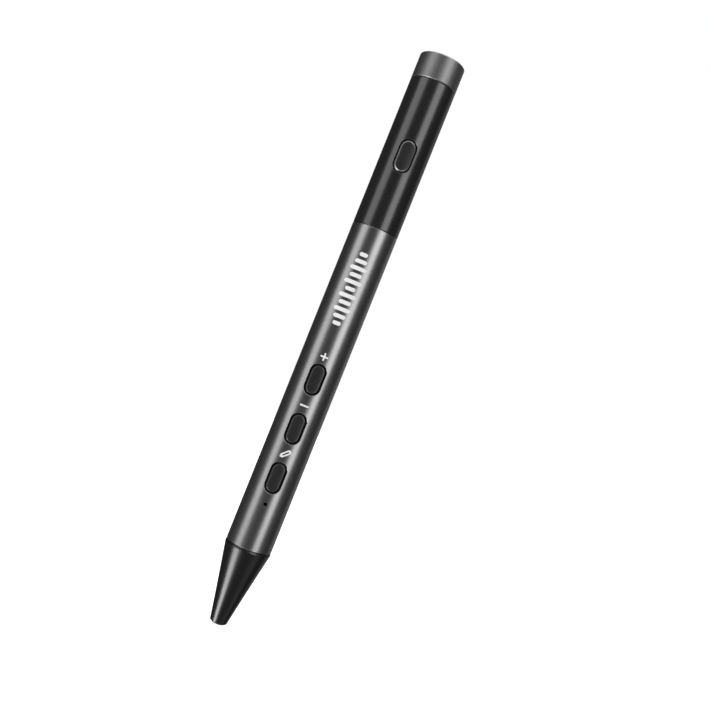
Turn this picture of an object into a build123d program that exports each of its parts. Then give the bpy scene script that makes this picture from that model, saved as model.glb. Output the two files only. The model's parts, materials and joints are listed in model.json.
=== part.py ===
from build123d import *
from math import sqrt
import os

# A stylus and presenter pen: an aluminium front barrel with three keys, a black rear barrel
# with one key, a pull-off end cap over a charging port, and a nose cone round a nib that
# presses a switch.  The pen stands on its nib along +Z, its keys face -Y, and its axis is
# the Z axis.  Millimetres.

os.makedirs("parts", exist_ok=True)

# ---- outer form ------------------------------------------------------------------------
BARREL_D = 13.0        # both barrels and the end cap
NOSE_L = 22.8          # nib tip to front barrel
FRONT_L = 92.9         # front barrel
REAR_L = 42.45         # rear barrel, without its spigot
CAP_L = 7.2            # end cap
CAP_SEAM = 0.25        # shadow gap between rear barrel and end cap
FRONT_WALL = 1.0
REAR_WALL = 1.2
CAP_WALL = 0.75
CAP_TOP = 1.5          # thickness of the cap's end
EDGE = 0.2             # broken edges of the front barrel
CAP_EDGE = 0.15        # broken edge of the cap's mouth
CAP_ROUND = 0.5        # rounded end of the cap

# ---- nose cone and nib -----------------------------------------------------------------
NOSE_TIP_R = 2.45      # nose cone round the nib
NOSE_LIP = 0.1         # the cone's back edge stands this far above the barrel
NOSE_LIP_L = 1.0       # length of that edge
NOSE_BOW = 0.06        # the cone's side bows inward this much
NOSE_SOCKET_L = 4.9    # hole for the insert's threaded stub
NIB_REACH = 0.4        # nib ahead of the nose cone
NIB_R = 2.0
NIB_ROUND = 0.35
NIB_HEAD_L = 3.0
NIB_STEM_R = 1.15
NIB_STEM_L = 10.0
NIB_TRAVEL = 0.35
HOLDER_WALL = 0.75
HOLDER_FROM_HEAD = 5.6  # nib head to nib holder
HOLDER_FLANGE_T = 1.0
HOLDER_ROD_R = 1.4
SPRING_ROOM = 0.7      # radial room for the spring round the rod, beyond the wire's own
SPRING_WIRE_R = 0.2
SPRING_TURNS = 7
INSERT_STUB_R = 4.5
INSERT_L = 8.4         # length of the insert inside the front barrel
INSERT_GUIDE_L = 3.5   # its narrow bore round the rod
STUB_GAP = 0.2         # insert's stub and the end of its hole
THREAD_PITCH = 1.2     # thread relief round the stub
THREAD_WIDTH = 0.5
THREAD_DEPTH = 0.3
THREAD_START = 0.8
THREAD_RINGS = 3

# ---- keys ------------------------------------------------------------------------------
KEY_L = 8.1            # front keys
KEY_W = 3.8
TOP_KEY_L = 8.7        # the one key of the rear barrel
TOP_KEY_W = 4.2
KEY_GAP = 0.4          # key to slot, front
TOP_KEY_GAP = 0.35     # key to slot, rear
KEY_SINK = 0.05        # key tops lie this far under the barrel's skin
KEY_EDGE = 0.35        # chamfer round each key top
KEY_TRAVEL = 0.3
KEY_FLANGE = 0.4       # the flange inside reaches this far past the slot
KEY_FLANGE_T = 0.6
KEY_POST_R = 1.2
PEN_KEY_Z = 20.75      # centre, from the front barrel's lower end
KEY_PITCH = 14.15
TOP_KEY_Z = 20.65       # centre, from the rear barrel's lower end
MIC_Z = 13.2           # centre, from the front barrel's lower end
MIC_HOLE_R = 0.5

# ---- chassis, boards and what they carry -----------------------------------------------
CHASSIS_WALL = 0.7
REAR_CHASSIS_WALL = 0.65
BULKHEAD_T = 1.0
BOARD_T = 0.8
BOARD_TAIL = 6.8       # front board beyond the last key's centre
BOARD_ROUND = 0.5
RIBBON_ROOM = 2.6      # front board to battery bulkhead
RIBBON_DROP = 4.0      # battery bulkhead to barrel joiner
RIBBON_W = 4.0
RIBBON_T = 0.15
RIBBON_BEND_R = 1.0
RIBBON_SIDE = 0.5      # notch past each side of the ribbon
NOTCH_DEPTH = 3.0
FOAM_T = 0.4
FOAM_INSET = 0.6
RIB_INSET = 2.0        # chassis ribs from the microphone and from the board's end
BATTERY_EDGE = 0.3
CRIMP = (1.2, 0.6, 0.4)  # the cell's crimp: from its end, its width and its depth
TAB_ON_BOARD = 1.4
TAB_ON_CELL = 1.6
TAB_W = 1.2
TAB_T = 0.15
TAB_X = 3.4
SWITCH_W = 3.0
SWITCH_L = 4.0
SWITCH_H = 2.0
TOP_SWITCH_H = 3.5
SWITCH_STEM_R = 0.8
STEM_PROUD = 0.5
TOP_STEM_PROUD = 1.0
STEM_SUNK = 0.5        # stem inside its switch
TIP_SWITCH = (3.2, 2.8, 3.0)
TIP_STEM_R = 0.6
TIP_STEM_L = 1.3
SOCKET_BLOCK = (5.0, 1.2, 2.5)
SOCKET_BACK = 0.8      # closed end of a ribbon socket
SOCKET_INSET = 0.5     # front socket from its board's end
REAR_SOCKET_INSET = 0.6
RIBBON_PLUGGED = 1.4   # ribbon inside its sockets
RIBBON_LEAD = (0.4, 0.6)  # ribbon past the board's end, and past each bulkhead
SCREW_R = 0.6
SCREW_HEAD_R = 1.1
SCREW_HEAD_H = 0.6
SCREW_CROSS = (1.2, 0.25)
SCREW_L = 3.0
REAR_SCREW_L = 2.2
BOSS_WALL = 0.6
JOINER_FRONT_L = 4.0   # barrel joiner inside the front barrel
JOINER_BACK_L = 4.0    # and inside the rear barrel
JOINER_WALL = 0.7

# ---- what stands on the boards: size across, up from the board and along ---------------
MIC_CAN = (2.6, 1.0, 1.8)
MIC_PORT = (0.3, 0.6)  # radius and depth of its inlet
BOOT_WALL = 0.3
SENSOR = (3.0, 0.9, 3.0)
CONTROLLER = (5.0, 0.9, 5.0)
RADIO = (5.0, 0.9, 5.0)
CRYSTAL = (1.2, 0.6, 2.0)
CRYSTAL_X = 3.4
CRYSTAL_STEP = 0.2     # crystal beyond the radio's centre
ANTENNA = (6.5, 1.2, 2.0)
CHARGER = (3.0, 0.8, 3.0)
PASSIVE = (0.5, 0.5, 1.0)
FRONT_PASSIVE_X = (-2.4, -0.8, 0.8, 2.4)
FRONT_PASSIVE_Z = (-1.2, 1.2)
REAR_PASSIVE_X = (-1.6, 0, 1.6)
REAR_PASSIVE_Z = (-3.6, 3.6)
RADIO_Z = 10.5         # from the rear board's lower end
ANTENNA_BACK = 10.0    # from the shoulder
REAR_BOARD_GAP = 0.6   # rear board from the joiner
TAIL_L = 2.5           # rear board past the shoulder
CHASSIS_STOP = 1.3     # rear chassis from the end wall
REAR_SCREW_IN = 5.5    # rear screws from the board's ends

# ---- spigot and charging port ----------------------------------------------------------
SPIGOT_WALL = 0.9
SPIGOT_END_T = 1.2
SHOULDER_T = 1.2       # rear barrel's end wall round the spigot's bore
RING_WIRE_R = 0.3      # O-ring section
RING_FROM_END = 2.2    # O-ring to the spigot's end
USB_W = 8.94
USB_H = 3.16
USB_L = 7.3
USB_WALL = 0.3
USB_TONGUE = (6.69, 0.7, 5.0)
USB_BASE_L = 1.6
USB_PITCH = 0.5
USB_PINS = 12
USB_PIN = (0.25, 0.06, 4.2)
PIN_START = 0.2
TONGUE_ROUND = 0.2

# ---- clearances ------------------------------------------------------------------------
SEAT = 0.05            # pieces glued or pressed together, on the radius
RUN = 0.1              # the nib's sliding fits, on the radius
LOOSE = 0.15           # chassis in barrel, cap on spigot, flange under barrel
STOP = 0.05            # a stopped piece and its stop
SPARE = 0.25           # travel left over at the end of a press
PORT_GAP = 0.12        # charging port in the spigot's end, all round

# ---- places worked out from the sizes --------------------------------------------------
barrel_r = BARREL_D / 2
front_bore = barrel_r - FRONT_WALL
rear_bore = barrel_r - REAR_WALL
z_rear = NOSE_L + FRONT_L
z_shoulder = z_rear + REAR_L
z_cap = z_shoulder + CAP_SEAM
z_end = z_cap + CAP_L
z_spigot = z_end - CAP_TOP - SPARE - STOP

z_socket = NOSE_L - NOSE_SOCKET_L
holder_r = NIB_STEM_R + HOLDER_WALL
z_holder = NIB_HEAD_L + HOLDER_FROM_HEAD
flange_r = HOLDER_ROD_R + SPRING_ROOM + SPRING_WIRE_R + RUN
spring_bore = flange_r + 2 * RUN
z_flange = z_socket + STOP
z_insert_back = NOSE_L + INSERT_L
z_spring_seat = z_insert_back - INSERT_GUIDE_L
z_rod_end = z_insert_back - NIB_TRAVEL - STOP
z_tip_switch = z_insert_back + SPARE + STOP
z_board = z_tip_switch + TIP_SWITCH[2]

z_mic = NOSE_L + MIC_Z
front_keys = {name: NOSE_L + PEN_KEY_Z + i * KEY_PITCH for i, name in enumerate(("pen", "minus", "plus"))}
z_top_key = z_rear + TOP_KEY_Z
key_top_r = barrel_r - KEY_SINK

chassis_r = front_bore - LOOSE
chassis_in = chassis_r - CHASSIS_WALL
board_half = sqrt(chassis_in**2 - (BOARD_T / 2) ** 2) - RUN
z_board_end = front_keys["plus"] + BOARD_TAIL
z_joiner = z_rear - JOINER_FRONT_L
z_joiner_back = z_rear + JOINER_BACK_L
z_bulkhead = z_board_end + RIBBON_ROOM
z_battery = z_bulkhead + BULKHEAD_T + FOAM_T
z_back_bulkhead = z_joiner - RIBBON_DROP - BULKHEAD_T
z_battery_end = z_back_bulkhead - FOAM_T
battery_r = chassis_in - SEAT
front_screws = [front_keys["pen"] + KEY_PITCH / 2, front_keys["minus"] + KEY_PITCH / 2]

rear_chassis_r = rear_bore - LOOSE
rear_chassis_in = rear_chassis_r - REAR_CHASSIS_WALL
rear_face = USB_H / 2                      # the rear board's key side, where the port sits
rear_back = rear_face + BOARD_T
rear_half = sqrt(rear_chassis_r**2 - rear_back**2) - LOOSE
spigot_r = barrel_r - CAP_WALL - LOOSE
spigot_bore = spigot_r - SPIGOT_WALL
tail_half = sqrt(spigot_bore**2 - rear_back**2) - 2 * LOOSE
z_rear_board = z_joiner_back + REAR_BOARD_GAP
z_tail_end = z_shoulder + TAIL_L
z_usb = z_spigot - USB_L
rear_chassis_end = z_shoulder - SHOULDER_T - CHASSIS_STOP
rear_screws = [z_rear_board + REAR_SCREW_IN, z_shoulder - REAR_SCREW_IN]
z_ring = z_spigot - RING_FROM_END


def save(piece, name):
    """Label a finished piece and write it to its own file."""
    piece.part.label = name
    export_step(piece.part, f"parts/{name}.step")


def key_plane(y):
    """A plane facing the key side at the given y: local x is X, local y is Z."""
    return Plane.XZ.offset(-y)


def round_plane(z):
    """A plane across the pen at z, its x on the back, so a round face has its seam away from the keys."""
    return Plane(origin=(0, 0, z), x_dir=(0, 1, 0), z_dir=(0, 0, 1))


def box_between(low, high):
    """A box from its low corner to its high corner."""
    size = [b - a for a, b in zip(low, high)]
    middle = [(a + b) / 2 for a, b in zip(low, high)]
    with Locations(tuple(middle)):
        Box(*size)


def on_face(y, x, z, size):
    """A block standing on a board's key side at y: size is across, up from the board, along."""
    width, height, length = size
    box_between((x - width / 2, y - height, z - length / 2), (x + width / 2, y, z + length / 2))


# ---- nose cone, nib and the switch it presses ------------------------------------------
with BuildPart() as nose_cone:
    lip_r = barrel_r + NOSE_LIP
    z_lip = NOSE_L - NOSE_LIP_L
    middle = ((NOSE_TIP_R + barrel_r) / 2 - NOSE_BOW, (NIB_REACH + z_lip) / 2)
    with BuildSketch(Plane.XZ):
        with BuildLine():
            Line((0, NIB_REACH), (NOSE_TIP_R - EDGE, NIB_REACH))
            Line((NOSE_TIP_R - EDGE, NIB_REACH), (NOSE_TIP_R, NIB_REACH + EDGE))
            ThreePointArc((NOSE_TIP_R, NIB_REACH + EDGE), middle, (barrel_r, z_lip))
            Line((barrel_r, z_lip), (lip_r, (z_lip + NOSE_L) / 2))
            Line((lip_r, (z_lip + NOSE_L) / 2), (barrel_r, NOSE_L))
            Line((barrel_r, NOSE_L), (0, NOSE_L))
            Line((0, NOSE_L), (0, NIB_REACH))
        make_face()
    revolve(axis=Axis.Z)
    bores = [
        (NIB_R + RUN, NIB_REACH, NIB_HEAD_L + NIB_TRAVEL + SPARE),
        (NIB_STEM_R + RUN, NIB_REACH, z_holder),
        (holder_r + RUN, z_holder - RUN, z_socket),
        (INSERT_STUB_R + RUN, z_socket, NOSE_L),
    ]
    for radius, low, high in bores:
        with BuildSketch(Plane.XY.offset(low)):
            Circle(radius)
        extrude(amount=high - low, mode=Mode.SUBTRACT)
save(nose_cone, "nose_cone")

with BuildPart() as nib:
    with BuildSketch(Plane.XY):
        Circle(NIB_R)
    extrude(amount=NIB_HEAD_L)
    fillet(nib.edges().group_by(Axis.Z)[0], NIB_ROUND)
    with BuildSketch(Plane.XY.offset(NIB_HEAD_L)):
        Circle(NIB_STEM_R)
    extrude(amount=NIB_STEM_L)
save(nib, "nib")

with BuildPart() as nib_holder:
    with BuildSketch(Plane.XY.offset(z_holder)):
        Circle(holder_r)
    extrude(amount=z_flange - z_holder)
    with BuildSketch(Plane.XY.offset(z_flange)):
        Circle(flange_r)
    extrude(amount=HOLDER_FLANGE_T)
    with BuildSketch(Plane.XY.offset(z_flange)):
        Circle(HOLDER_ROD_R)
    extrude(amount=z_rod_end - z_flange)
    with BuildSketch(Plane.XY.offset(z_holder)):
        Circle(NIB_STEM_R)
    extrude(amount=NIB_HEAD_L + NIB_STEM_L - z_holder, mode=Mode.SUBTRACT)
save(nib_holder, "nib_holder")

with BuildPart() as nib_spring:
    coil_r = HOLDER_ROD_R + SPRING_ROOM / 2 + SPRING_WIRE_R
    z_coil = z_flange + HOLDER_FLANGE_T + STOP + SPRING_WIRE_R
    coil_l = z_spring_seat - STOP - SPRING_WIRE_R - z_coil
    with BuildLine():
        Helix(coil_l / SPRING_TURNS, coil_l, coil_r, center=(0, 0, z_coil))
    with BuildSketch(Plane(origin=(coil_r, 0, z_coil), z_dir=(0, 1, 0))):
        Circle(SPRING_WIRE_R)
    sweep(is_frenet=True)
save(nib_spring, "nib_spring")

with BuildPart() as nose_insert:
    z_stub = z_socket + STUB_GAP
    with BuildSketch(Plane.XY.offset(z_stub)):
        Circle(INSERT_STUB_R)
    extrude(amount=NOSE_L - z_stub)
    with BuildSketch(Plane.XY.offset(NOSE_L)):
        Circle(front_bore - SEAT)
    extrude(amount=INSERT_L)
    # thread relief: shallow rings round the stub
    for i in range(THREAD_RINGS):
        with BuildSketch(Plane.XY.offset(z_stub + THREAD_START + THREAD_PITCH * i)):
            Circle(INSERT_STUB_R)
            Circle(INSERT_STUB_R - THREAD_DEPTH, mode=Mode.SUBTRACT)
        extrude(amount=THREAD_WIDTH, mode=Mode.SUBTRACT)
    with BuildSketch(Plane.XY.offset(z_stub)):
        Circle(spring_bore)
    extrude(amount=z_spring_seat - z_stub, mode=Mode.SUBTRACT)
    with BuildSketch(Plane.XY.offset(z_spring_seat)):
        Circle(HOLDER_ROD_R + RUN)
    extrude(amount=INSERT_GUIDE_L, mode=Mode.SUBTRACT)
save(nose_insert, "nose_insert")

with BuildPart() as tip_switch:
    width, depth, length = TIP_SWITCH
    box_between((-width / 2, -depth / 2, z_tip_switch), (width / 2, depth / 2, z_board))
    with BuildSketch(Plane.XY.offset(z_tip_switch)):
        Circle(TIP_STEM_R + RUN)
    stem_end = z_rod_end + TIP_STEM_L
    extrude(amount=stem_end + NIB_TRAVEL + SPARE - z_tip_switch, mode=Mode.SUBTRACT)
save(tip_switch, "tip_switch")

with BuildPart() as tip_switch_stem:
    with BuildSketch(Plane.XY.offset(z_rod_end)):
        Circle(TIP_STEM_R)
    extrude(amount=TIP_STEM_L)
save(tip_switch_stem, "tip_switch_stem")

# ---- front barrel ----------------------------------------------------------------------
with BuildPart() as front_barrel:
    with BuildSketch(round_plane(NOSE_L)):
        Circle(barrel_r)
        Circle(front_bore, mode=Mode.SUBTRACT)
    extrude(amount=FRONT_L)
    rims = front_barrel.edges().filter_by(GeomType.CIRCLE).filter_by(lambda e: e.radius == barrel_r)
    chamfer(rims, EDGE)
    with BuildSketch(Plane.XZ):
        with Locations([(0, z) for z in front_keys.values()]):
            SlotOverall(KEY_L + 2 * KEY_GAP, KEY_W + 2 * KEY_GAP, rotation=90)
        with Locations((0, z_mic)):
            Circle(MIC_HOLE_R)
    extrude(amount=BARREL_D, mode=Mode.SUBTRACT)
save(front_barrel, "front_barrel")

# ---- front chassis and battery ---------------------------------------------------------
with BuildPart() as front_chassis:
    cut = 2 * chassis_r
    with BuildSketch(Plane.XY.offset(z_insert_back)):
        Circle(chassis_r)
        Circle(chassis_in, mode=Mode.SUBTRACT)
        with Locations((0, -BOARD_T / 2)):
            Rectangle(cut, cut, align=(Align.CENTER, Align.MAX), mode=Mode.SUBTRACT)
    extrude(amount=z_joiner - z_insert_back)
    # two bulkheads hold the battery, and two ribs carry the board's back
    walls = [
        (z_bulkhead, -BOARD_T / 2),
        (z_back_bulkhead, -BOARD_T / 2),
        (z_mic + RIB_INSET, BOARD_T / 2),
        (z_board_end - RIB_INSET, BOARD_T / 2),
    ]
    for low, edge_y in walls:
        with BuildSketch(Plane.XY.offset(low)):
            Circle(chassis_r)
            with Locations((0, edge_y)):
                Rectangle(cut, cut, align=(Align.CENTER, Align.MAX), mode=Mode.SUBTRACT)
        extrude(amount=BULKHEAD_T)
    # the back bulkhead is notched for the ribbon
    with BuildSketch(Plane.XY.offset(z_back_bulkhead)):
        with Locations((0, -BOARD_T / 2)):
            Rectangle(
                RIBBON_W + 2 * RIBBON_SIDE, NOTCH_DEPTH, align=(Align.CENTER, Align.MIN)
            )
    extrude(amount=BULKHEAD_T, mode=Mode.SUBTRACT)
    boss_l = sqrt(chassis_r**2 - (SCREW_R + BOSS_WALL) ** 2) - BOARD_T / 2
    with BuildSketch(key_plane(BOARD_T / 2)):
        with Locations([(0, z) for z in front_screws]):
            Circle(SCREW_R + BOSS_WALL)
    extrude(amount=-boss_l)
    with BuildSketch(key_plane(BOARD_T / 2)):
        with Locations([(0, z) for z in front_screws]):
            Circle(SCREW_R)
    extrude(amount=-SCREW_L, mode=Mode.SUBTRACT)
save(front_chassis, "front_chassis")

with BuildPart() as battery_cell:
    with BuildSketch(Plane.XY.offset(z_battery)):
        Circle(battery_r)
    extrude(amount=z_battery_end - z_battery)
    chamfer(battery_cell.edges().filter_by(GeomType.CIRCLE), BATTERY_EDGE)
    # the crimp under the lid
    crimp_from, crimp_w, crimp_depth = CRIMP
    with BuildSketch(Plane.XY.offset(z_battery + crimp_from)):
        Circle(battery_r)
        Circle(battery_r - crimp_depth, mode=Mode.SUBTRACT)
    extrude(amount=crimp_w, mode=Mode.SUBTRACT)
save(battery_cell, "battery_cell")

with BuildPart() as battery_tabs:
    board_face = -BOARD_T / 2
    for x in (-TAB_X, TAB_X):
        box_between(
            (x - TAB_W / 2, board_face - TAB_T, z_board_end - TAB_ON_BOARD),
            (x + TAB_W / 2, board_face, z_battery),
        )
        box_between(
            (x - TAB_W / 2, board_face - TAB_ON_CELL, z_battery - TAB_T),
            (x + TAB_W / 2, board_face, z_battery),
        )
save(battery_tabs, "battery_tabs")

with BuildPart() as battery_foam:
    with BuildSketch(Plane.XY.offset(z_battery_end)):
        Circle(battery_r - FOAM_INSET)
    extrude(amount=FOAM_T)
save(battery_foam, "battery_foam")

# ---- front board -----------------------------------------------------------------------
front_face = -BOARD_T / 2
with BuildPart() as front_board:
    with BuildSketch(key_plane(-front_face)):
        with Locations((0, (z_board + z_board_end) / 2)):
            RectangleRounded(2 * board_half, z_board_end - z_board, BOARD_ROUND)
        with Locations([(0, z) for z in front_screws]):
            Circle(SCREW_R + SEAT, mode=Mode.SUBTRACT)
    extrude(amount=BOARD_T)
save(front_board, "front_board")

with BuildPart() as microphone:
    mic_face = front_face - MIC_CAN[1]
    port_r, port_depth = MIC_PORT
    on_face(front_face, 0, z_mic, MIC_CAN)
    with BuildSketch(key_plane(mic_face)):
        with Locations((0, z_mic)):
            Circle(port_r)
    extrude(amount=-port_depth, mode=Mode.SUBTRACT)
save(microphone, "microphone")

with BuildPart() as mic_boot:
    boot_r = MIC_HOLE_R + BOOT_WALL
    boot_end = sqrt(front_bore**2 - boot_r**2) - SEAT
    with BuildSketch(key_plane(mic_face)):
        with Locations((0, z_mic)):
            Circle(boot_r)
            Circle(MIC_HOLE_R, mode=Mode.SUBTRACT)
    extrude(amount=boot_end + mic_face)
save(mic_boot, "mic_boot")

with BuildPart() as motion_sensor:
    on_face(BOARD_T / 2 + SENSOR[1], 0, front_keys["pen"], SENSOR)
save(motion_sensor, "motion_sensor")

with BuildPart() as controller_chip:
    on_face(BOARD_T / 2 + CONTROLLER[1], 0, front_keys["minus"], CONTROLLER)
save(controller_chip, "controller_chip")

with BuildPart() as front_passives:
    for x in FRONT_PASSIVE_X:
        for step in FRONT_PASSIVE_Z:
            on_face(BOARD_T / 2 + PASSIVE[1], x, front_keys["plus"] + step, PASSIVE)
save(front_passives, "front_passives")


def flex_socket(name, face_y, z_mouth, direction):
    """A ribbon socket on a board's key side, its mouth at z_mouth facing along direction."""
    width, height, length = SOCKET_BLOCK
    z_middle = z_mouth - direction * length / 2
    slot_l = length - SOCKET_BACK
    z_slot = z_mouth - direction * slot_l / 2
    slot_y = face_y - height / 2 + RIBBON_T / 2 + SEAT
    with BuildPart() as socket:
        on_face(face_y, 0, z_middle, SOCKET_BLOCK)
        with Locations((0, slot_y - RIBBON_T / 2 - SEAT, z_slot)):
            Box(RIBBON_W + 2 * SEAT, RIBBON_T + 2 * SEAT, slot_l, mode=Mode.SUBTRACT)
    save(socket, name)


z_front_mouth = z_board_end - SOCKET_INSET
z_rear_mouth = z_rear_board + REAR_SOCKET_INSET
flex_socket("front_flex_socket", front_face, z_front_mouth, 1)
flex_socket("rear_flex_socket", rear_face, z_rear_mouth, -1)

with BuildPart() as flex_ribbon:
    low_y = front_face - SOCKET_BLOCK[1] / 2
    high_y = rear_face - SOCKET_BLOCK[1] / 2
    over_y = -(battery_r + RIBBON_T / 2 + SEAT)
    past_board, past_wall = RIBBON_LEAD
    route = [
        (low_y, z_front_mouth - RIBBON_PLUGGED),
        (low_y, z_board_end + past_board),
        (over_y, z_battery - past_wall),
        (over_y, z_back_bulkhead + past_wall),
        (high_y, z_joiner + past_wall),
        (high_y, z_rear_mouth + RIBBON_PLUGGED),
    ]
    with BuildSketch(Plane.YZ):
        with BuildLine():
            FilletPolyline(*route, radius=RIBBON_BEND_R)
        trace(line_width=RIBBON_T)
    extrude(amount=RIBBON_W / 2, both=True)
save(flex_ribbon, "flex_ribbon")

# ---- barrel joiner ---------------------------------------------------------------------
with BuildPart() as barrel_joiner:
    joiner_bore = min(front_bore, rear_bore) - SEAT - JOINER_WALL
    with BuildSketch(Plane.XY.offset(z_joiner)):
        Circle(front_bore - SEAT)
    extrude(amount=JOINER_FRONT_L)
    with BuildSketch(Plane.XY.offset(z_rear)):
        Circle(rear_bore - SEAT)
    extrude(amount=JOINER_BACK_L)
    with BuildSketch(Plane.XY.offset(z_joiner)):
        Circle(joiner_bore)
    extrude(amount=JOINER_FRONT_L + JOINER_BACK_L, mode=Mode.SUBTRACT)
save(barrel_joiner, "barrel_joiner")

# ---- rear barrel, its spigot and the end cap -------------------------------------------
with BuildPart() as rear_barrel:
    with BuildSketch(round_plane(z_rear)):
        Circle(barrel_r)
    extrude(amount=REAR_L)
    with BuildSketch(Plane.XY.offset(z_shoulder)):
        Circle(spigot_r)
    extrude(amount=z_spigot - z_shoulder)
    chamfer(rear_barrel.edges().group_by(Axis.Z)[-1], EDGE)
    with BuildSketch(Plane.XY.offset(z_rear)):
        Circle(rear_bore)
    extrude(amount=REAR_L - SHOULDER_T, mode=Mode.SUBTRACT)
    with BuildSketch(Plane.XY.offset(z_rear)):
        Circle(spigot_bore)
    extrude(amount=z_spigot - SPIGOT_END_T - z_rear, mode=Mode.SUBTRACT)
    with BuildSketch(Plane.XY.offset(z_rear)):
        SlotOverall(USB_W + 2 * PORT_GAP, USB_H + 2 * PORT_GAP)
    extrude(amount=z_spigot - z_rear, mode=Mode.SUBTRACT)
    with BuildSketch(Plane.XY.offset(z_ring - RING_WIRE_R - STOP)):
        Circle(spigot_r)
        Circle(spigot_r + LOOSE - STOP - 2 * RING_WIRE_R, mode=Mode.SUBTRACT)
    extrude(amount=2 * (RING_WIRE_R + STOP), mode=Mode.SUBTRACT)
    with BuildSketch(Plane.XZ):
        with Locations((0, z_top_key)):
            SlotOverall(TOP_KEY_L + 2 * TOP_KEY_GAP, TOP_KEY_W + 2 * TOP_KEY_GAP, rotation=90)
    extrude(amount=BARREL_D, mode=Mode.SUBTRACT)
save(rear_barrel, "rear_barrel")

with BuildPart() as cap_o_ring:
    with BuildSketch(Plane.XZ):
        with Locations((spigot_r + LOOSE - STOP - RING_WIRE_R, z_ring)):
            Circle(RING_WIRE_R)
    revolve(axis=Axis.Z)
save(cap_o_ring, "cap_o_ring")

with BuildPart() as end_cap:
    with BuildSketch(Plane.XY.offset(z_cap)):
        Circle(barrel_r)
    extrude(amount=CAP_L)
    fillet(end_cap.edges().group_by(Axis.Z)[-1], CAP_ROUND)
    chamfer(end_cap.edges().group_by(Axis.Z)[0], CAP_EDGE)
    with BuildSketch(Plane.XY.offset(z_cap)):
        Circle(barrel_r - CAP_WALL)
    extrude(amount=CAP_L - CAP_TOP, mode=Mode.SUBTRACT)
save(end_cap, "end_cap")

# ---- charging port ---------------------------------------------------------------------
with BuildPart() as usb_shell:
    with BuildSketch(Plane.XY.offset(z_usb)):
        SlotOverall(USB_W, USB_H)
        SlotOverall(USB_W - 2 * USB_WALL, USB_H - 2 * USB_WALL, mode=Mode.SUBTRACT)
    extrude(amount=USB_L)
save(usb_shell, "usb_shell")

with BuildPart() as usb_tongue:
    tongue_w, tongue_t, tongue_l = USB_TONGUE
    with BuildSketch(Plane.XY.offset(z_usb)):
        SlotOverall(USB_W - 2 * USB_WALL, USB_H - 2 * USB_WALL)
    extrude(amount=USB_BASE_L)
    with BuildSketch(Plane.XY.offset(z_usb + USB_BASE_L)):
        RectangleRounded(tongue_w, tongue_t, TONGUE_ROUND)
    extrude(amount=tongue_l)
save(usb_tongue, "usb_tongue")

with BuildPart() as usb_contacts:
    pin_w, pin_t, pin_l = USB_PIN
    z_pins = z_usb + USB_BASE_L + pin_l / 2 + PIN_START
    for side in (-1, 1):
        y = side * (tongue_t + pin_t) / 2
        with Locations((0, y, z_pins)):
            with GridLocations(USB_PITCH, 0, USB_PINS, 1):
                Box(pin_w, pin_t, pin_l)
save(usb_contacts, "usb_contacts")

# ---- rear chassis and board ------------------------------------------------------------
with BuildPart() as rear_chassis:
    rear_cut = 2 * rear_chassis_r
    with BuildSketch(Plane.XY.offset(z_joiner_back)):
        Circle(rear_chassis_r)
        Circle(rear_chassis_in, mode=Mode.SUBTRACT)
        with Locations((0, rear_back)):
            Rectangle(rear_cut, rear_cut, align=(Align.CENTER, Align.MAX), mode=Mode.SUBTRACT)
    extrude(amount=rear_chassis_end - z_joiner_back)
    rear_boss_l = sqrt(rear_chassis_r**2 - (SCREW_R + BOSS_WALL) ** 2) - rear_back
    with BuildSketch(key_plane(rear_back)):
        with Locations([(0, z) for z in rear_screws]):
            Circle(SCREW_R + BOSS_WALL)
    extrude(amount=-rear_boss_l)
    with BuildSketch(key_plane(rear_back)):
        with Locations([(0, z) for z in rear_screws]):
            Circle(SCREW_R)
    extrude(amount=-REAR_SCREW_L, mode=Mode.SUBTRACT)
save(rear_chassis, "rear_chassis")

with BuildPart() as rear_board:
    with BuildSketch(key_plane(rear_back)):
        with Locations((0, z_rear_board)):
            Rectangle(2 * rear_half, rear_chassis_end - z_rear_board, align=(Align.CENTER, Align.MIN))
            Rectangle(2 * tail_half, z_tail_end - z_rear_board, align=(Align.CENTER, Align.MIN))
        with Locations([(0, z) for z in rear_screws]):
            Circle(SCREW_R + SEAT, mode=Mode.SUBTRACT)
    extrude(amount=BOARD_T)
save(rear_board, "rear_board")

z_radio = z_rear_board + RADIO_Z
with BuildPart() as radio_chip:
    on_face(rear_face, 0, z_radio, RADIO)
save(radio_chip, "radio_chip")

with BuildPart() as crystal_can:
    on_face(rear_face, CRYSTAL_X, z_radio + CRYSTAL_STEP, CRYSTAL)
save(crystal_can, "crystal_can")

with BuildPart() as antenna:
    on_face(rear_face, 0, z_shoulder - ANTENNA_BACK, ANTENNA)
save(antenna, "antenna")

with BuildPart() as charge_chip:
    on_face(rear_back + CHARGER[1], 0, z_top_key, CHARGER)
save(charge_chip, "charge_chip")

with BuildPart() as rear_passives:
    for x in REAR_PASSIVE_X:
        for step in REAR_PASSIVE_Z:
            on_face(rear_back + PASSIVE[1], x, z_top_key + step, PASSIVE)
save(rear_passives, "rear_passives")


def board_screws(name, face_y, places, shank_l):
    """Cross-head screws through a board, heads on its key side."""
    with BuildPart() as screws:
        with BuildSketch(key_plane(face_y)):
            with Locations([(0, z) for z in places]):
                Circle(SCREW_HEAD_R)
        extrude(amount=SCREW_HEAD_H)
        with BuildSketch(key_plane(face_y)):
            with Locations([(0, z) for z in places]):
                Circle(SCREW_R)
        extrude(amount=-(BOARD_T + shank_l))
        with BuildSketch(key_plane(face_y - SCREW_HEAD_H)):
            with Locations([(0, z) for z in places]):
                Rectangle(*SCREW_CROSS)
                Rectangle(*reversed(SCREW_CROSS))
        extrude(amount=-SCREW_HEAD_H / 2, mode=Mode.SUBTRACT)
    save(screws, name)


board_screws("front_board_screws", front_face, front_screws, SCREW_L)
board_screws("rear_board_screws", rear_face, rear_screws, REAR_SCREW_L)


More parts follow.
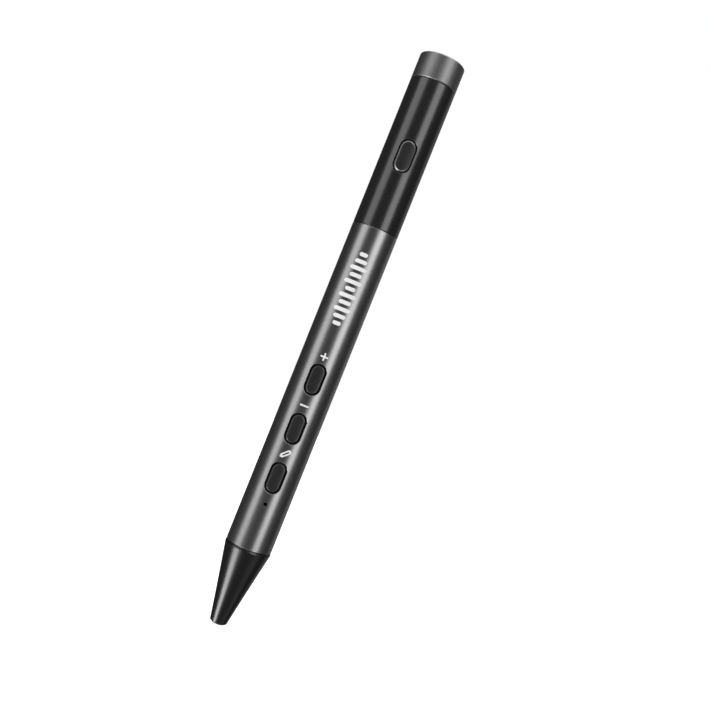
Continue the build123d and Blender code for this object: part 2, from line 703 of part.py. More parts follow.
# ---- keys and the switches under them --------------------------------------------------
def curved_tile(z, length, width, inner_r, outer_r):
    """A pill-shaped piece of a tube's wall on the key side, its length along the pen."""
    with BuildPart() as tile:
        with BuildSketch(Plane.XZ):
            with Locations((0, z)):
                SlotOverall(length, width, rotation=90)
        extrude(amount=outer_r)
        with BuildSketch(Plane.XY.offset(z - length)):
            Circle(outer_r)
            Circle(inner_r, mode=Mode.SUBTRACT)
        extrude(amount=2 * length, mode=Mode.INTERSECT)
    return tile.part


def key_set(name, z, face_y, bore_r, size, gap, switch_h, stem_proud):
    """A key in its slot, the switch on the board behind it, and the stem between them."""
    length, width = size
    reach = gap + KEY_FLANGE
    shelf_r = bore_r - LOOSE
    switch_y = face_y - switch_h
    stem_y = switch_y - stem_proud
    top = curved_tile(z, length, width, shelf_r - KEY_FLANGE_T, key_top_r)
    shelf = curved_tile(z, length + 2 * reach, width + 2 * reach, shelf_r - KEY_FLANGE_T, shelf_r)
    with BuildPart() as button:
        add(top)
        chamfer(button.faces().sort_by(Axis.Y)[0].edges(), KEY_EDGE)
        add(shelf)
        with BuildSketch(key_plane(stem_y)):
            with Locations((0, z)):
                Circle(KEY_POST_R)
        extrude(amount=shelf_r + stem_y - KEY_FLANGE_T / 2)
    save(button, f"{name}_button")

    with BuildPart() as switch:
        on_face(face_y, 0, z, (SWITCH_W, switch_h, SWITCH_L))
        with BuildSketch(key_plane(switch_y)):
            with Locations((0, z)):
                Circle(SWITCH_STEM_R + RUN)
        extrude(amount=-(STEM_SUNK + KEY_TRAVEL + SPARE), mode=Mode.SUBTRACT)
    save(switch, f"{name}_switch")

    with BuildPart() as stem:
        with BuildSketch(key_plane(stem_y)):
            with Locations((0, z)):
                Circle(SWITCH_STEM_R)
        extrude(amount=-(stem_proud + STEM_SUNK))
    save(stem, f"{name}_switch_stem")


for key_name, key_z in front_keys.items():
    key_set(key_name, key_z, front_face, front_bore, (KEY_L, KEY_W), KEY_GAP, SWITCH_H, STEM_PROUD)
key_set("top", z_top_key, rear_face, rear_bore, (TOP_KEY_L, TOP_KEY_W), TOP_KEY_GAP, TOP_SWITCH_H,
        TOP_STEM_PROUD)
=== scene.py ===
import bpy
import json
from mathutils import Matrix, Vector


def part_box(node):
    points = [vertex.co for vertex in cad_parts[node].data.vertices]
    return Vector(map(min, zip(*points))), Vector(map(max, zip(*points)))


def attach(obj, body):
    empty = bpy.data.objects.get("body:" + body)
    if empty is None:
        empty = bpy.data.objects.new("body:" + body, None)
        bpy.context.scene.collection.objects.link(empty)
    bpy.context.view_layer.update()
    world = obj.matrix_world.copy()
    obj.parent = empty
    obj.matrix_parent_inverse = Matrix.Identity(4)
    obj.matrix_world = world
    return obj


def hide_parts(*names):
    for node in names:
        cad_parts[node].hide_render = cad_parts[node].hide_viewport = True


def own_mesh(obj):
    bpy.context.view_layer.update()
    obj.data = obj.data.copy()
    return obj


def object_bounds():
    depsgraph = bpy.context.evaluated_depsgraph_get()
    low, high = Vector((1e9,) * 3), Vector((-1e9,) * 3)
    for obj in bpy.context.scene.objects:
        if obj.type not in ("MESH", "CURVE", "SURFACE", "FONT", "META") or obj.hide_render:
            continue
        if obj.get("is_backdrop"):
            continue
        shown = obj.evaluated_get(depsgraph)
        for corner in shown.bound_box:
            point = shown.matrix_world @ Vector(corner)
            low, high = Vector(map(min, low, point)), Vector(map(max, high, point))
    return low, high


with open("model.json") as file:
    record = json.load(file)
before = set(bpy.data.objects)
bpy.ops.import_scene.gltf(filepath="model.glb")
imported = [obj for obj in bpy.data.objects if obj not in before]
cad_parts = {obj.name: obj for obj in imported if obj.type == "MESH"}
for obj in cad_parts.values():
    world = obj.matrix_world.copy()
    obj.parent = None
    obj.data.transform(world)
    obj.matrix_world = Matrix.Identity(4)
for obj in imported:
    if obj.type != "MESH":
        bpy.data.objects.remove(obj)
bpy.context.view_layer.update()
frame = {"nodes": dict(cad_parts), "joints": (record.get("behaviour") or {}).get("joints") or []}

import json
from math import asin, cos, hypot, pi, radians, sin, sqrt, tan

import bmesh
import bpy
from mathutils import Quaternion, Vector

# ==== view and light ====================================================================
# The pen stands on its nib with its keys towards the camera, which looks at it square on
# from arm's length and is rolled, so that the pen leans to the right across the picture.

MM = 0.001             # sizes below are in millimetres
EYE = Vector((0, -245.3, 80.53)) * MM
AIM = Vector((7.61, 0, 81.98)) * MM
ROLL = 21.87           # degrees
LENS = 45.3

camera_data = bpy.data.cameras.new("camera")
camera_data.lens = LENS
camera_data.clip_start = 0.01
camera = bpy.data.objects.new("camera", camera_data)
camera.location = EYE
camera.rotation_mode = "QUATERNION"
camera.rotation_quaternion = (AIM - EYE).to_track_quat("-Z", "Y") @ Quaternion((0, 0, 1), radians(ROLL))
bpy.context.collection.objects.link(camera)
bpy.context.scene.camera = camera
bpy.context.scene.view_settings.view_transform = "Standard"

low, high = (Vector(corner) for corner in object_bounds())
PEN_LENGTH = high.z - low.z


def softbox(name, azimuth, height, width, length, radiance, distance=0.6):
    """A soft panel facing the pen's middle, in metres.

    Azimuth 0 is the key side, and more is to its right. Heights are from the floor.
    """
    data = bpy.data.lights.new(name, "AREA")
    data.shape = "RECTANGLE"
    data.size, data.size_y = width, length
    data.energy = radiance * pi * width * length
    lamp = bpy.data.objects.new(name, data)
    turn = radians(azimuth)
    place = Vector((sin(turn) * distance, -cos(turn) * distance, height))
    target = Vector((0, 0, PEN_LENGTH / 2))
    lamp.location = place
    lamp.rotation_mode = "QUATERNION"
    lamp.rotation_quaternion = (target - place).to_track_quat("-Z", "Y")
    lamp.visible_camera = False
    bpy.context.collection.objects.link(lamp)


softbox("key_strip", 38, 0.28, 0.34, 1.05, 2.3)
softbox("fill_strip", -53, 0.29, 0.38, 1.03, 1.55)
softbox("low_strip", -54, -0.50, 0.36, 0.30, 11.0)
softbox("low_panel", 64, -0.42, 0.34, 0.36, 0.3)
softbox("under_panel", 0, -0.30, 0.34, 0.34, 1.0, distance=0.03)
softbox("side_strip", 138, 0.10, 0.40, 1.4, 0.22)
softbox("back_strip", 180, 0.12, 0.34, 1.3, 1.3)
softbox("top_panel", 10, 0.75, 0.5, 0.5, 1.6, distance=0.12)


class Shade:
    """One socket of a shader tree. Arithmetic on it adds Math nodes to the tree."""

    def __init__(self, tree, socket=None):
        self.tree, self.socket = tree, socket

    def node(self, kind, settings=None, inputs=None, output=0):
        """A node of any kind: its settings are set first, then the values or links of its sockets."""
        made = self.tree.nodes.new(kind)
        for name, value in (settings or {}).items():
            if name == "stops":
                for place, (position, shade) in enumerate(value):
                    stops = made.color_ramp.elements
                    stop = stops[place] if place < len(stops) else stops.new(position)
                    stop.position, stop.color = position, (shade, shade, shade, 1)
            else:
                setattr(made, name, value)
        for name, value in (inputs or {}).items():
            if isinstance(value, Shade):
                self.tree.links.new(value.socket, made.inputs[name])
            else:
                made.inputs[name].default_value = value
        return Shade(self.tree, made.outputs[output] if made.outputs else None)

    def math(self, operation, first, second):
        return self.node("ShaderNodeMath", {"operation": operation}, {0: first, 1: second})

    def __add__(self, other):
        return self.math("ADD", self, other)

    def __radd__(self, other):
        return self.math("ADD", other, self)

    def __sub__(self, other):
        return self.math("SUBTRACT", self, other)

    def __rsub__(self, other):
        return self.math("SUBTRACT", other, self)

    def __mul__(self, other):
        return self.math("MULTIPLY", self, other)

    def __rmul__(self, other):
        return self.math("MULTIPLY", other, self)

    def mix(self, low_colour, high_colour):
        """A colour between two, by this value."""
        return self.node(
            "ShaderNodeMix",
            {"data_type": "RGBA"},
            {"Factor": self, 6: (*low_colour, 1), 7: (*high_colour, 1)},
            output=2,
        )


ROOM_LIGHT = 0.055     # what the room gives back between the panels
world = bpy.data.worlds.new("studio")
world.use_nodes = True
world.node_tree.nodes.clear()
shade = Shade(world.node_tree)
seen = shade.node("ShaderNodeLightPath")   # its first output is 1 where the background is seen
dim = shade.node("ShaderNodeBackground", inputs={"Color": (ROOM_LIGHT, ROOM_LIGHT, ROOM_LIGHT, 1)})
white = shade.node("ShaderNodeBackground", inputs={"Color": (1, 1, 1, 1)})
mixed = shade.node("ShaderNodeMixShader", inputs={0: seen, 1: dim, 2: white})
shade.node("ShaderNodeOutputWorld", inputs={"Surface": mixed})
bpy.context.scene.world = world

# ==== floor =============================================================================
# A pale sweep under the nib, so light that it runs into the background without a line.


def new_tree(name):
    """An empty material and its shader tree."""
    material = bpy.data.materials.new(name)
    material.use_nodes = True
    material.node_tree.nodes.clear()
    return material, Shade(material.node_tree)


FLOOR_HALF = 1.5
FLOOR_GLOW = 0.96
floor_corners = [(x * FLOOR_HALF, y * FLOOR_HALF, 0) for x, y in ((-1, -1), (1, -1), (1, 1), (-1, 1))]
floor_mesh = bpy.data.meshes.new("floor")
floor_mesh.from_pydata(floor_corners, [], [(0, 1, 2, 3)])
floor = bpy.data.objects.new("floor", floor_mesh)
bpy.context.collection.objects.link(floor)
floor.location.z = low.z
for ray in ("glossy", "diffuse", "shadow", "transmission"):
    setattr(floor, f"visible_{ray}", False)
floor_material, shade = new_tree("pale_sweep")
glow = shade.node("ShaderNodeEmission", inputs={"Color": (1, 1, 1, 1), "Strength": FLOOR_GLOW})
card = shade.node("ShaderNodeBsdfDiffuse", inputs={"Color": (0.9, 0.9, 0.9, 1)})
both = shade.node("ShaderNodeAddShader", inputs={0: glow, 1: card})
shade.node("ShaderNodeOutputMaterial", inputs={"Surface": both})
floor_mesh.materials.append(floor_material)
floor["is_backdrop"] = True

# ==== nose cone =========================================================================
# A black cone turned from acetal and polished. It screws onto the insert in the front
# barrel, and its back edge stands a hair proud of the aluminium.

COAT_ROUGHNESS = 0.08


def begin(name, metallic, specular, coat=0.0):
    """A material, its tree, the place on the object, and the sockets that are the same all over."""
    material, shade = new_tree(name)
    where = shade.node("ShaderNodeTexCoord", output=3)
    inputs = {"Metallic": metallic, "Coat Weight": coat, "Coat Roughness": COAT_ROUGHNESS}
    inputs["Specular IOR Level"] = specular
    return material, shade, where, inputs


def grain(shade, where, size, detail=2.0):
    """Noise from 0 to 1 with features of the given size in metres."""
    scale = 1 / size
    return shade.node("ShaderNodeTexNoise", inputs={"Vector": where, "Scale": scale, "Detail": detail})


def close(shade, inputs, height, depth):
    """Puts the surface together, with a bump of the given depth in metres."""
    bump = {"Strength": 1.0, "Distance": depth, "Height": height}
    inputs["Normal"] = shade.node("ShaderNodeBump", inputs=bump)
    surface = shade.node("ShaderNodeBsdfPrincipled", inputs=inputs)
    shade.node("ShaderNodeOutputMaterial", inputs={"Surface": surface})


DRIFT = 6              # how far apart a finish's lighter and darker patches lie
DRIFT_SHARE = 0.07     # and how far their colour is from the finish's own


def satin(name, colour, rough, spread, metallic, grain_size, depth, specular=0.5):
    """A fine-grained finish, in millimetres: its colour drifts a little, and its roughness follows."""
    material, shade, where, inputs = begin(name, metallic, specular)
    drift = grain(shade, where, DRIFT * MM, detail=3.0)
    fine = grain(shade, where, grain_size * MM)
    light = tuple(min(1, (1 + DRIFT_SHARE) * c) for c in colour)
    dark = tuple((1 - DRIFT_SHARE) * c for c in colour)
    inputs["Base Color"] = drift.mix(dark, light)
    inputs["Roughness"] = rough - spread / 2 + spread * (0.6 * fine + 0.4 * drift)
    close(shade, inputs, fine, depth * MM)
    return material


ARC_STEPS = 5


def outline(*corners):
    """A closed outline of (r, z, rounding) corners in millimetres, its roundings drawn as arcs."""
    drawn = []
    for i, (r, z, rounding) in enumerate(corners):
        here = Vector((r, z))
        if not rounding:
            drawn.append((r, z))
            continue
        before, after = (Vector(corners[j % len(corners)][:2]) for j in (i - 1, i + 1))
        into, away = (before - here).normalized(), (after - here).normalized()
        half_angle = into.angle(away) / 2
        reach = rounding / tan(half_angle)
        start, stop = here + into * reach, here + away * reach
        centre = here + (into + away).normalized() * hypot(rounding, reach)
        first, last = start - centre, stop - centre
        for step in range(ARC_STEPS + 1):
            drawn.append(tuple(centre + first.lerp(last, step / ARC_STEPS).normalized() * rounding))
    return drawn


COLUMNS = 128          # points round every turned piece


def ring(radius, z, turns=tuple(2 * pi * k / COLUMNS for k in range(COLUMNS))):
    """One row of points round the pen's axis, in millimetres, from the middle of the key side round."""
    return [(radius * sin(t), -radius * cos(t), z) for t in turns]


WELD = 1e-7            # metres
SLIVER = 1e-9


class Skin:
    """Collects rows of points and the quads between them, and makes a piece of them."""

    def __init__(self):
        self.points, self.faces, self.finishes = [], [], []

    def row(self, points):
        start = len(self.points)
        self.points += points
        return list(range(start, start + len(points)))

    def face(self, corners, finish=0):
        self.faces.append(tuple(corners))
        self.finishes.append(finish)

    def band(self, one, two, closed=True, finish=0, skip=()):
        """Quads between two rows of points of the same count."""
        count = len(one)
        for k in range(count if closed else count - 1):
            if k not in skip:
                n = (k + 1) % count
                self.face((one[k], one[n], two[n], two[k]), finish)

    def bands(self, rows):
        """Bands from each row to the next: returns the last one."""
        for one, two in zip(rows, rows[1:]):
            self.band(one, two)
        return rows[-1]

    def piece(self, name, materials, body, slot, node=None, sharp=40):
        """Makes the mesh, welds it, rides it on its body and puts it in place of its CAD node."""
        mesh = bpy.data.meshes.new(name)
        mesh.from_pydata([[v * MM for v in p] for p in self.points], [], self.faces)
        for material in materials:
            mesh.materials.append(material)
        for polygon, finish in zip(mesh.polygons, self.finishes):
            polygon.material_index = finish
        work = bmesh.new()
        work.from_mesh(mesh)
        bmesh.ops.remove_doubles(work, verts=work.verts, dist=WELD)
        bmesh.ops.dissolve_degenerate(work, edges=work.edges, dist=SLIVER)
        bmesh.ops.recalc_face_normals(work, faces=work.faces)
        work.to_mesh(mesh)
        work.free()
        mesh.shade_smooth()
        mesh.set_sharp_from_angle(angle=radians(sharp))
        made = bpy.data.objects.new(name, mesh)
        bpy.context.collection.objects.link(made)
        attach(made, body)
        if node:
            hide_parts(node)
        return made


def weigh(piece):
    """Keeps flat faces flat beside small roundings."""
    modifier = piece.modifiers.new("even_shading", "WEIGHTED_NORMAL")
    modifier.keep_sharp = True


BRIGHT_DEPTH = 0.31    # a bright edge is on the outside, and no deeper than this


def turned(name, profile, materials, body, slot, node, bright=()):
    """A piece turned on the pen's axis from an outline in millimetres.

    The outline closes on itself, or starts and ends on the axis. Between each pair of
    heights in bright, the outside takes the second material.
    """
    skin = Skin()
    rows = [skin.row(ring(r, z)) for r, z in profile]
    if profile[0][0] > 0:
        rows.append(rows[0])
        profile = profile + profile[:1]
    for i, (one, two) in enumerate(zip(rows, rows[1:])):
        (r0, z0), (r1, z1) = profile[i], profile[i + 1]
        height = (z0 + z1) / 2
        outside = min(r0, r1) > BARREL_R - BRIGHT_DEPTH
        cut = outside and any(low <= height <= high for low, high in bright)
        skin.band(one, two, finish=1 if cut else 0)
    weigh(skin.piece(name, materials, body, slot, node))


def span(node):
    """A node's lowest and highest corners in millimetres."""
    return [[v / MM for v in corner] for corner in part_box(node)]


barrel_low, barrel_high = span("front_barrel")
BARREL_R = (barrel_high[0] - barrel_low[0]) / 2
NOSE_END = barrel_low[2]
(_, _, cone_z), (cone_lip, _, _) = span("nose_cone")
CONE_TIP_R = 2.45
CONE_BOW = 0.06        # how far the cone's side is hollowed at its middle
CONE_STEPS = 24
LIP_L = 1.0
LIP_ROUND = 0.16
CONE_EDGE = 0.2
SOCKET_R, SOCKET_Z = 4.6, 17.9   # the threaded socket for the insert
HOLDER_R, HOLDER_Z = 2.0, 8.5    # the holder's room
STEM_R = 1.25                    # the nib's stem runs here
NIB_BORE_R, NIB_BORE_Z = 2.1, 3.6
cone_middle = ((CONE_TIP_R + BARREL_R) / 2 - CONE_BOW, (cone_z + NOSE_END - LIP_L) / 2)


def bowed(start, middle, stop, steps):
    """Corners on a gentle curve through three (r, z) points, ends left out."""
    control = [2 * m - (a + b) / 2 for a, m, b in zip(start, middle, stop)]
    drawn = []
    for i in range(1, steps):
        t = i / steps
        weights = (1 - t) ** 2, 2 * t * (1 - t), t * t
        drawn.append([sum(w * v for w, v in zip(weights, values)) for values in zip(start, control, stop)])
    return [(r, z, 0) for r, z in drawn]


cone_profile = outline(
    (NIB_BORE_R, cone_z, 0.03),
    (CONE_TIP_R - 0.03, cone_z, CONE_EDGE),
    *bowed((CONE_TIP_R, cone_z + CONE_EDGE), cone_middle, (BARREL_R, NOSE_END - LIP_L), CONE_STEPS),
    (BARREL_R, NOSE_END - LIP_L, 0),
    (cone_lip, NOSE_END - LIP_L / 2, LIP_ROUND),
    (BARREL_R - 0.1, NOSE_END - 0.06, 0.05),
    (BARREL_R - 0.3, NOSE_END, 0),
    (SOCKET_R, NOSE_END, 0),
    (SOCKET_R, SOCKET_Z, 0),
    (HOLDER_R, SOCKET_Z, 0),
    (HOLDER_R, HOLDER_Z, 0),
    (STEM_R, HOLDER_Z, 0),
    (STEM_R, NIB_BORE_Z, 0),
    (NIB_BORE_R, NIB_BORE_Z, 0),
)
gloss_black = satin("polished_black", (0.006, 0.006, 0.0062), 0.29, 0.05, 0.0, 0.4, 0.0003, 0.7)
turned("nose_cone_shell", cone_profile, [gloss_black], "pen_body", "nose_cone", "nose_cone")

# ==== nib ===============================================================================
# A blunt black nib moulded in hard acetal, with a stem pressed into its holder. It slides
# in the nose cone and presses the switch behind it.

nib_low, nib_high = span("nib")
NIB_R = 2.0
NIB_FLAT_R = 1.2
NIB_ROUND = 0.35
NIB_HEAD_L = 3.0
NIB_STEM_R = 1.15
nib_profile = outline(
    (0, nib_low[2], 0),
    (NIB_FLAT_R, nib_low[2], 0),
    (NIB_R, nib_low[2], NIB_ROUND),
    (NIB_R, NIB_HEAD_L, 0.2),
    (NIB_STEM_R, NIB_HEAD_L, 0),
    (NIB_STEM_R, nib_high[2], 0.25),
    (0, nib_high[2], 0),
)
nib_black = satin("nib_black", (0.012, 0.012, 0.012), 0.38, 0.10, 0.0, 0.05, 0.001)
turned("nib_tip", nib_profile, [nib_black], "nib_group", "nib", "nib")

# ==== inside the pen ====================================================================
# Boards, chips, switches, battery, screws and the frames that carry them. They are closed
# in by the barrels, and each has the finish of what it is made of.


def dress(material, *names):
    """Gives carried-over nodes a material."""
    for name in names:
        data = frame["nodes"][name].data
        data.materials.clear()
        data.materials.append(material)


LINE_W = 0.08
LINE_DEPTH = 0.001
LINE_SPREAD = 0.16     # the lines' spread in roughness


def brushed(name, colour, rough, stretch):
    """Metal with fine lines along one axis: the stretch is how much longer they are along Z."""
    material, shade, where, inputs = begin(name, metallic=1.0, specular=0.5)
    long_way = shade.node("ShaderNodeMapping", inputs={"Vector": where, "Scale": (1, 1, 1 / stretch)})
    lines = grain(shade, long_way, LINE_W * MM, detail=4.0)
    drift = grain(shade, where, DRIFT / 2 * MM)
    inputs["Base Color"] = drift.mix(tuple(0.9 * c for c in colour), colour)
    inputs["Roughness"] = rough - LINE_SPREAD / 2 + LINE_SPREAD * lines
    close(shade, inputs, lines, LINE_DEPTH * MM)
    return material


dark_plastic = satin("moulded_dark", (0.03, 0.03, 0.032), 0.45, 0.12, 0.0, 0.12, 0.004)
pale_plastic = satin("moulded_pale", (0.66, 0.64, 0.58), 0.42, 0.10, 0.0, 0.12, 0.003)
turned_alloy = brushed("turned_alloy", (0.62, 0.62, 0.63), 0.32, 0.2)
bright_steel = brushed("bright_steel", (0.66, 0.66, 0.65), 0.24, 12)
gold_plate = brushed("gold_plate", (0.86, 0.62, 0.27), 0.22, 6)
battery_can = brushed("drawn_can", (0.5, 0.51, 0.53), 0.34, 30)
soft_rubber = satin("soft_rubber", (0.018, 0.018, 0.018), 0.62, 0.10, 0.0, 0.08, 0.004, 0.35)
chip_black = satin("chip_epoxy", (0.022, 0.022, 0.024), 0.55, 0.14, 0.0, 0.07, 0.005)
ceramic = satin("antenna_ceramic", (0.72, 0.70, 0.63), 0.30, 0.08, 0.0, 0.1, 0.002)
film = satin("amber_film", (0.62, 0.26, 0.05), 0.22, 0.06, 0.0, 0.5, 0.002)


TRACK_PITCH = 1.4
TRACK_HEIGHT = 0.02
MASK_COAT = 0.3


def solder_mask(name, bare, over_copper):
    """Solder mask over copper: tracks show through as slightly raised, lighter lines."""
    material, shade, where, inputs = begin(name, metallic=0.0, specular=0.5, coat=MASK_COAT)
    cells = shade.node(
        "ShaderNodeTexVoronoi",
        {"feature": "DISTANCE_TO_EDGE"},
        {"Vector": where, "Scale": 1 / (TRACK_PITCH * MM), "Randomness": 0.6},
    )
    tracks = shade.node("ShaderNodeValToRGB", {"stops": [(0.03, 1.0), (0.07, 0.0)]}, {"Fac": cells})
    inputs["Base Color"] = tracks.mix(bare, over_copper)
    inputs["Roughness"] = 0.26 + 0.1 * grain(shade, where, 0.1 * MM)
    close(shade, inputs, tracks, TRACK_HEIGHT * MM)
    return material


mask_green = solder_mask("solder_mask", (0.008, 0.07, 0.03), (0.02, 0.14, 0.06))
switches = [f"{key}_switch" for key in ("pen", "minus", "plus", "top", "tip")]
dress(dark_plastic, "front_chassis", "rear_chassis", "front_flex_socket", "rear_flex_socket", *switches)
dress(pale_plastic, "nib_holder", *[f"{name}_stem" for name in switches])
dress(turned_alloy, "nose_insert", "barrel_joiner")
dress(bright_steel, "front_board_screws", "rear_board_screws", "crystal_can", "microphone", "battery_tabs")
dress(mask_green, "front_board", "rear_board")
dress(chip_black, "controller_chip", "motion_sensor", "radio_chip", "charge_chip")
dress(ceramic, "antenna", "front_passives", "rear_passives")
dress(battery_can, "battery_cell")
dress(soft_rubber, "mic_boot", "battery_foam")
dress(film, "flex_ribbon")

# ==== nib spring ========================================================================
# A compression spring wound in steel wire, its end turns closed. It sits round the nib
# holder's rod, between its flange and the threaded insert, and is drawn at rest; the share of
# its length that it keeps with the nib pressed is worked out, but nothing shortens it.

SPRING_TURNS = 7
WIRE_R = 0.19
WIRE_ROOM = 0.02       # inside the room that the spring has
CLOSED_TURN = 0.8      # turns at each end that lie nearly flat
CLOSED_PITCH = 2.1 * WIRE_R
TURN_STEPS = 32
WIRE_STEPS = 10
spring_low, spring_high = span("nib_spring")
coil_r = spring_high[0] - WIRE_R - WIRE_ROOM
coil_start, coil_stop = spring_low[2] + WIRE_R + WIRE_ROOM, spring_high[2] - WIRE_R - WIRE_ROOM


def coil_height(turn):
    """The wire's height after some turns: it climbs slowly, then evenly, then slowly again."""
    if turn < CLOSED_TURN:
        return coil_start + CLOSED_PITCH * turn
    if turn > SPRING_TURNS - CLOSED_TURN:
        return coil_stop - CLOSED_PITCH * (SPRING_TURNS - turn)
    share = (turn - CLOSED_TURN) / (SPRING_TURNS - 2 * CLOSED_TURN)
    climb = coil_stop - coil_start - 2 * CLOSED_PITCH * CLOSED_TURN
    return coil_start + CLOSED_PITCH * CLOSED_TURN + share * climb


coil = Skin()
wire_rows = []
for step in range(SPRING_TURNS * TURN_STEPS + 1):
    turn = step / TURN_STEPS
    section = []
    for k in range(WIRE_STEPS):
        round_wire = 2 * pi * k / WIRE_STEPS
        r, z = coil_r + WIRE_R * cos(round_wire), coil_height(turn) + WIRE_R * sin(round_wire)
        section.append((r * cos(2 * pi * turn), r * sin(2 * pi * turn), z))
    wire_rows.append(coil.row(section))
coil.bands(wire_rows)
coil.face(wire_rows[0])
coil.face(wire_rows[-1])
spring = coil.piece("nib_spring_coil", [bright_steel], "pen_body", "steel", "nib_spring")
nib_travel = next(joint for joint in frame["joints"] if joint["name"] == "nib_press")["range_m"][1] / MM
spring_keep = 1 - nib_travel / (spring_high[2] - spring_low[2])
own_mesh(spring)

# ==== front barrel ======================================================================
# A drawn aluminium tube, bead-blasted and anodised dark grey. Three pill-shaped slots and a
# microphone hole are milled through it, with their edges and the tube's ends just broken.

FRONT_BORE = BARREL_R - 1.0
BROKEN = 0.24          # the chamfers at the tube's ends
WINDOW_X = 3.6         # a slot's patch of wall reaches this far to each side
WINDOW_COLUMNS = 24
WINDOW_MARGIN = 1.1    # and this far past the slot's ends
WINDOW_STEP = 0.94     # two of its rows
FADE = (0.72, 0.36)    # loops between a slot's patch and its edge, as shares of the way
LIP = ((0.16, 0), (0.13, 0), (0.105, 0.008), (0.02, 0.085), (0.004, 0.11), (0, 0.15))
LIP_FULL = 2.5         # a narrower slot's lip is smaller by as much as its half width is
LIP_END = 0.1          # deeper than this is the slot's own wall
BELOW_LIP = 0.4


def pill_point(place, half_spine, reach, along=1):
    """The point at a distance from a pill's spine, in the direction of a given place.

    along tells which of the two coordinates the spine lies along.
    """
    spine = [0.0, 0.0]
    spine[along] = max(-half_spine, min(half_spine, place[along]))
    away = Vector((place[0] - spine[0], place[1] - spine[1]))
    step = away.normalized() * reach
    return spine[0] + step.x, spine[1] + step.y, away.length


class Wall(Skin):
    """A tube's wall with pill-shaped windows on the key side."""

    def __init__(self, bore, windows, low_z, high_z):
        """A window is its centre's height, half its spine's length and half its width."""
        super().__init__()
        self.bore, self.windows = bore, windows
        side = asin(WINDOW_X / BARREL_R)
        rest = round((pi - side) / side * WINDOW_COLUMNS)
        self.turns = [side * (2 * i / WINDOW_COLUMNS - 1) for i in range(WINDOW_COLUMNS)]
        self.turns += [side + i * 2 * (pi - side) / rest for i in range(rest)]
        self.heights, self.starts = [low_z], {}
        for centre, half_spine, half_width in windows:
            half = half_spine + half_width + WINDOW_MARGIN
            count = max(8, 2 * round(2 * half / WINDOW_STEP))
            self.starts[len(self.heights)] = count
            self.heights += [centre + half * (2 * i / count - 1) for i in range(count + 1)]
        self.heights.append(high_z)
        self.low_outside, self.high_outside, outer_rims = self.face_of(BARREL_R)
        self.low_inside, self.high_inside, inner_rims = self.face_of(bore)
        for window, outer_rim, inner_rim in zip(windows, outer_rims, inner_rims):
            self.sleeve(window, outer_rim, inner_rim)

    def circle(self, radius, z):
        return self.row(ring(radius, z, self.turns))

    def face_of(self, radius):
        """One face of the wall: returns its first row, its last row and each window's rim of points."""
        rows = [self.circle(radius, z) for z in self.heights]
        rims = []
        open_rows = {start + i for start, count in self.starts.items() for i in range(count)}
        for i, (one, two) in enumerate(zip(rows, rows[1:])):
            self.band(one, two, skip=range(WINDOW_COLUMNS) if i in open_rows else ())
        for start, count in self.starts.items():
            last = start + count
            right = [rows[i][WINDOW_COLUMNS] for i in range(start, last)]
            left = [rows[i][0] for i in range(last, start, -1)]
            rims.append(rows[start][:WINDOW_COLUMNS] + right + rows[last][WINDOW_COLUMNS:0:-1] + left)
        return rows[0], rows[-1], rims

    def sleeve(self, window, outer_rim, inner_rim):
        """The wall round one window: in along the outside, over the lip and through to the inside.

        A round hole is lined with the second material.
        """
        centre, half_spine, half_width = window
        places = [(self.points[k][0], self.points[k][2] - centre) for k in outer_rim]
        size = min(1, half_width / LIP_FULL)
        steps = [(share, None, 0) for share in FADE]
        steps += [(None, size * out, size * drop) for out, drop in LIP]
        steps += [(None, 0, BELOW_LIP), (None, 0, BARREL_R - self.bore)]
        last = outer_rim
        for share, out, drop in steps:
            points = []
            for place in places:
                away = pill_point(place, half_spine, 1)[2]
                reach = half_width + (out if share is None else (away - half_width) * share)
                x, z, _ = pill_point(place, half_spine, reach)
                points.append((x, -sqrt((BARREL_R - drop) ** 2 - x * x), z + centre))
            here = self.row(points)
            lined = out == 0 and drop > LIP_END and not half_spine
            self.band(last, here, finish=1 if lined else 0)
            last = here
        self.band(last, inner_rim)


ON_SKIN = 1e-7         # metres
NEARLY_TRUE = radians(12)


def round_off(piece):
    """Sets exact normals on the points of the barrel's outside, so reflections run true along it."""
    mesh = piece.data
    normals = [vertex.normal.copy() for vertex in mesh.vertices]
    for vertex in mesh.vertices:
        x, y, _ = vertex.co
        outward = Vector((x, y, 0)).normalized()
        on_skin = abs(hypot(x, y) - BARREL_R * MM) < ON_SKIN
        if on_skin and normals[vertex.index].angle(outward, 0) < NEARLY_TRUE:
            normals[vertex.index] = outward
    mesh.normals_split_custom_set_from_vertices(normals)


def middle(node):
    """The height of a node's middle."""
    return (span(node)[0][2] + span(node)[1][2]) / 2


KEY_L, KEY_W, KEY_GAP = 8.1, 3.8, 0.4
MIC_R = 0.52
front_keys = {key: middle(f"{key}_switch_stem") for key in ("pen", "minus", "plus")}
front_windows = [(middle("microphone"), 0, MIC_R)]
front_windows += [(z, (KEY_L - KEY_W) / 2, KEY_W / 2 + KEY_GAP) for z in front_keys.values()]
FRONT_END = barrel_high[2]
END_ROW = 0.05         # the last row of the plain wall is this far from the edge

front_wall = Wall(FRONT_BORE, front_windows, NOSE_END + BROKEN + END_ROW, FRONT_END - BROKEN - END_ROW)
